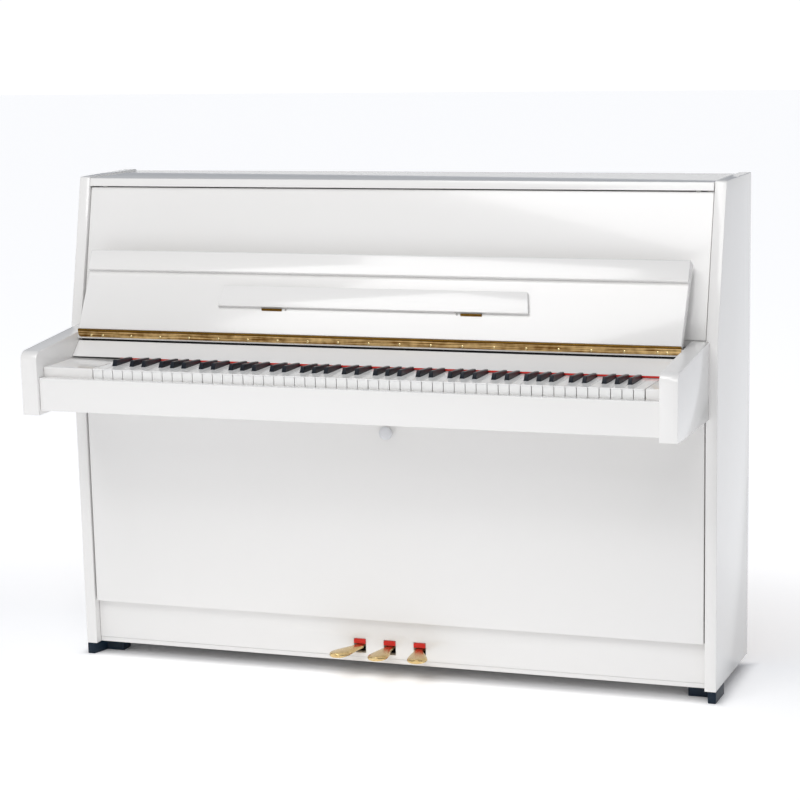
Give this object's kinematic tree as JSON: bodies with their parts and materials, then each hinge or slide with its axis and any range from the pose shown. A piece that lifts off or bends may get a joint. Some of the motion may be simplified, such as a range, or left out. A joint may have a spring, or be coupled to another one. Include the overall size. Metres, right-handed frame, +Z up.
{
  "type": "upright piano",
  "caption": "Compact white upright piano with open folding fallboard, slanted upper panel, sprung keys, three brass pedals, hinged lid, iron plate and back posts.",
  "frame": {"origin": "on the floor, in the middle of the overall width and depth", "axes": "+X towards the treble end of the keyboard, -Y towards the player, +Z up"},
  "size_m": [1.49, 0.59, 1.1],
  "materials": {
    "white_lacquer": "white polished polyester lacquer on wood core",
    "bare_wood": "clear-sealed hardwood",
    "spruce": "clear-lacquered spruce",
    "brass": "polished brass",
    "black_foot": "black moulded, satin",
    "gilded_iron": "bronze-gold painted cast iron",
    "string_steel": "drawn music wire",
    "white_felt": "pressed wool felt on wooden heads",
    "knob_plastic": "moulded, glossy",
    "white_key": "spruce lever with a glossy white acrylic top and front",
    "black_key": "spruce lever with a satin black top"
  },
  "bodies": {
    "case": {"side_panel_left": "white_lacquer", "side_panel_right": "white_lacquer", "arm_left": "white_lacquer", "arm_right": "white_lacquer", "keybed": "white_lacquer", "key_slip": "white_lacquer", "key_block_left": "white_lacquer", "key_block_right": "white_lacquer", "name_board": "white_lacquer", "hinge_rail": "white_lacquer", "upper_panel": "white_lacquer", "toe_rail": "white_lacquer", "bottom_board": "white_lacquer", "back_beam_top": "bare_wood", "back_beam_bottom": "bare_wood", "back_post_left": "bare_wood", "back_post_middle": "bare_wood", "back_post_right": "bare_wood", "pin_block": "bare_wood", "action_rail": "bare_wood", "soundboard": "spruce", "balance_rail": "spruce", "fallboard_hinge": "brass", "lid_hinge": "brass", "foot_front_left": "black_foot", "foot_front_right": "black_foot", "foot_rear_left": "black_foot", "foot_rear_right": "black_foot", "iron_plate": "gilded_iron", "strings": "string_steel"},
    "lid": {"lid": "white_lacquer"},
    "fallboard": {"fallboard": "white_lacquer"},
    "fallboard_lip": {"fallboard_lip": "white_lacquer"},
    "music_ledge": {"music_ledge": "white_lacquer"},
    "pedal_left": {"pedal_left": "brass"},
    "pedal_middle": {"pedal_middle": "brass"},
    "pedal_right": {"pedal_right": "brass"},
    "pedal_rod_left": {"pedal_rod_left": "bare_wood"},
    "pedal_rod_middle": {"pedal_rod_middle": "bare_wood"},
    "pedal_rod_right": {"pedal_rod_right": "bare_wood"},
    "hammers": {"hammers": "white_felt"},
    "dampers": {"dampers": "white_felt"},
    "white_keys_bass": {"white_keys_bass": "white_key"},
    "black_keys_bass": {"black_keys_bass": "black_key"},
    "white_key_c_4": {"white_key_c_4": "white_key"},
    "black_key_c_sharp_4": {"black_key_c_sharp_4": "black_key"},
    "white_key_d_4": {"white_key_d_4": "white_key"},
    "black_key_d_sharp_4": {"black_key_d_sharp_4": "black_key"},
    "white_key_e_4": {"white_key_e_4": "white_key"},
    "white_key_f_4": {"white_key_f_4": "white_key"},
    "black_key_f_sharp_4": {"black_key_f_sharp_4": "black_key"},
    "white_key_g_4": {"white_key_g_4": "white_key"},
    "black_key_g_sharp_4": {"black_key_g_sharp_4": "black_key"},
    "white_key_a_4": {"white_key_a_4": "white_key"},
    "black_key_a_sharp_4": {"black_key_a_sharp_4": "black_key"},
    "white_key_b_4": {"white_key_b_4": "white_key"},
    "white_keys_treble": {"white_keys_treble": "white_key"},
    "black_keys_treble": {"black_keys_treble": "black_key"},
    "lower_panel": {"lower_panel": "white_lacquer", "lower_panel_knob": "knob_plastic"}
  },
  "joints": [
    {"name": "lid_open", "type": "hinge", "parent": "case", "child": "lid", "pos_m": [0, 0.291, 1.0948], "axis": [-1, 0, 0], "range_deg": [0, 100]},
    {"name": "fallboard_close", "type": "hinge", "parent": "case", "child": "fallboard", "pos_m": [0, -0.1005, 0.7735], "axis": [1, 0, 0], "range_deg": [0, 126.9]},
    {"name": "lip_unfold", "type": "hinge", "parent": "fallboard", "child": "fallboard_lip", "pos_m": [0, -0.01559, 0.93761], "axis": [-1, 0, 0], "range_deg": [0, 98]},
    {"name": "music_ledge_unfold", "type": "hinge", "parent": "fallboard", "child": "music_ledge", "pos_m": [0, -0.07046, 0.82831], "axis": [-1, 0, 0], "range_deg": [-90, 0]},
    {"name": "lower_panel_tilt", "type": "hinge", "parent": "case", "child": "lower_panel", "pos_m": [0, -0.018, 0.1285], "axis": [1, 0, 0], "range_deg": [0, 30]},
    {"name": "pedal_left_press", "type": "hinge", "parent": "case", "child": "pedal_left", "pos_m": [-0.071, 0.035, 0.059], "axis": [1, 0, 0], "range_deg": [0, 7], "stiffness_Nm_per_rad": 25, "springref_deg": -5.73},
    {"name": "pedal_middle_press", "type": "hinge", "parent": "case", "child": "pedal_middle", "pos_m": [0, 0.035, 0.059], "axis": [1, 0, 0], "range_deg": [0, 7], "stiffness_Nm_per_rad": 25, "springref_deg": -5.73},
    {"name": "pedal_right_press", "type": "hinge", "parent": "case", "child": "pedal_right", "pos_m": [0.071, 0.035, 0.059], "axis": [1, 0, 0], "range_deg": [0, 7], "stiffness_Nm_per_rad": 25, "springref_deg": -5.73},
    {"name": "pedal_rod_left_lift", "type": "slide", "parent": "case", "child": "pedal_rod_left", "axis": [0, 0, 1], "range_m": [0, 0.0126]},
    {"name": "pedal_rod_middle_lift", "type": "slide", "parent": "case", "child": "pedal_rod_middle", "axis": [0, 0, 1], "range_m": [0, 0.0126]},
    {"name": "pedal_rod_right_lift", "type": "slide", "parent": "case", "child": "pedal_rod_right", "axis": [0, 0, 1], "range_m": [0, 0.0126]},
    {"name": "hammers_half_blow", "type": "hinge", "parent": "case", "child": "hammers", "pos_m": [0, 0.086, 0.791], "axis": [-1, 0, 0], "range_deg": [0, 8]},
    {"name": "dampers_lift", "type": "hinge", "parent": "case", "child": "dampers", "pos_m": [0, 0.116, 0.779], "axis": [1, 0, 0], "range_deg": [0, 4]},
    {"name": "white_keys_bass_press", "type": "hinge", "parent": "case", "child": "white_keys_bass", "pos_m": [0, -0.042, 0.689], "axis": [1, 0, 0], "range_deg": [0, 2.5], "stiffness_Nm_per_rad": 23, "springref_deg": -8.59},
    {"name": "black_keys_bass_press", "type": "hinge", "parent": "case", "child": "black_keys_bass", "pos_m": [0, -0.042, 0.689], "axis": [1, 0, 0], "range_deg": [0, 2.5], "stiffness_Nm_per_rad": 16, "springref_deg": -8.59},
    {"name": "white_key_c_4_press", "type": "hinge", "parent": "case", "child": "white_key_c_4", "pos_m": [0, -0.042, 0.689], "axis": [1, 0, 0], "range_deg": [0, 2.5], "stiffness_Nm_per_rad": 1, "springref_deg": -8.59},
    {"name": "black_key_c_sharp_4_press", "type": "hinge", "parent": "case", "child": "black_key_c_sharp_4", "pos_m": [0, -0.042, 0.689], "axis": [1, 0, 0], "range_deg": [0, 2.5], "stiffness_Nm_per_rad": 1, "springref_deg": -8.59},
    {"name": "white_key_d_4_press", "type": "hinge", "parent": "case", "child": "white_key_d_4", "pos_m": [0, -0.042, 0.689], "axis": [1, 0, 0], "range_deg": [0, 2.5], "stiffness_Nm_per_rad": 1, "springref_deg": -8.59},
    {"name": "black_key_d_sharp_4_press", "type": "hinge", "parent": "case", "child": "black_key_d_sharp_4", "pos_m": [0, -0.042, 0.689], "axis": [1, 0, 0], "range_deg": [0, 2.5], "stiffness_Nm_per_rad": 1, "springref_deg": -8.59},
    {"name": "white_key_e_4_press", "type": "hinge", "parent": "case", "child": "white_key_e_4", "pos_m": [0, -0.042, 0.689], "axis": [1, 0, 0], "range_deg": [0, 2.5], "stiffness_Nm_per_rad": 1, "springref_deg": -8.59},
    {"name": "white_key_f_4_press", "type": "hinge", "parent": "case", "child": "white_key_f_4", "pos_m": [0, -0.042, 0.689], "axis": [1, 0, 0], "range_deg": [0, 2.5], "stiffness_Nm_per_rad": 1, "springref_deg": -8.59},
    {"name": "black_key_f_sharp_4_press", "type": "hinge", "parent": "case", "child": "black_key_f_sharp_4", "pos_m": [0, -0.042, 0.689], "axis": [1, 0, 0], "range_deg": [0, 2.5], "stiffness_Nm_per_rad": 1, "springref_deg": -8.59},
    {"name": "white_key_g_4_press", "type": "hinge", "parent": "case", "child": "white_key_g_4", "pos_m": [0, -0.042, 0.689], "axis": [1, 0, 0], "range_deg": [0, 2.5], "stiffness_Nm_per_rad": 1, "springref_deg": -8.59},
    {"name": "black_key_g_sharp_4_press", "type": "hinge", "parent": "case", "child": "black_key_g_sharp_4", "pos_m": [0, -0.042, 0.689], "axis": [1, 0, 0], "range_deg": [0, 2.5], "stiffness_Nm_per_rad": 1, "springref_deg": -8.59},
    {"name": "white_key_a_4_press", "type": "hinge", "parent": "case", "child": "white_key_a_4", "pos_m": [0, -0.042, 0.689], "axis": [1, 0, 0], "range_deg": [0, 2.5], "stiffness_Nm_per_rad": 1, "springref_deg": -8.59},
    {"name": "black_key_a_sharp_4_press", "type": "hinge", "parent": "case", "child": "black_key_a_sharp_4", "pos_m": [0, -0.042, 0.689], "axis": [1, 0, 0], "range_deg": [0, 2.5], "stiffness_Nm_per_rad": 1, "springref_deg": -8.59},
    {"name": "white_key_b_4_press", "type": "hinge", "parent": "case", "child": "white_key_b_4", "pos_m": [0, -0.042, 0.689], "axis": [1, 0, 0], "range_deg": [0, 2.5], "stiffness_Nm_per_rad": 1, "springref_deg": -8.59},
    {"name": "white_keys_treble_press", "type": "hinge", "parent": "case", "child": "white_keys_treble", "pos_m": [0, -0.042, 0.689], "axis": [1, 0, 0], "range_deg": [0, 2.5], "stiffness_Nm_per_rad": 22, "springref_deg": -8.59},
    {"name": "black_keys_treble_press", "type": "hinge", "parent": "case", "child": "black_keys_treble", "pos_m": [0, -0.042, 0.689], "axis": [1, 0, 0], "range_deg": [0, 2.5], "stiffness_Nm_per_rad": 15, "springref_deg": -8.59}
  ],
  "couplings": [
    {"joint": "pedal_rod_left_lift", "follows": "pedal_left_press", "m_per_rad": 0.102},
    {"joint": "pedal_rod_middle_lift", "follows": "pedal_middle_press", "m_per_rad": 0.102},
    {"joint": "pedal_rod_right_lift", "follows": "pedal_right_press", "m_per_rad": 0.102},
    {"joint": "hammers_half_blow", "follows": "pedal_left_press", "ratio": 1.14},
    {"joint": "dampers_lift", "follows": "pedal_right_press", "ratio": 0.57}
  ]
}
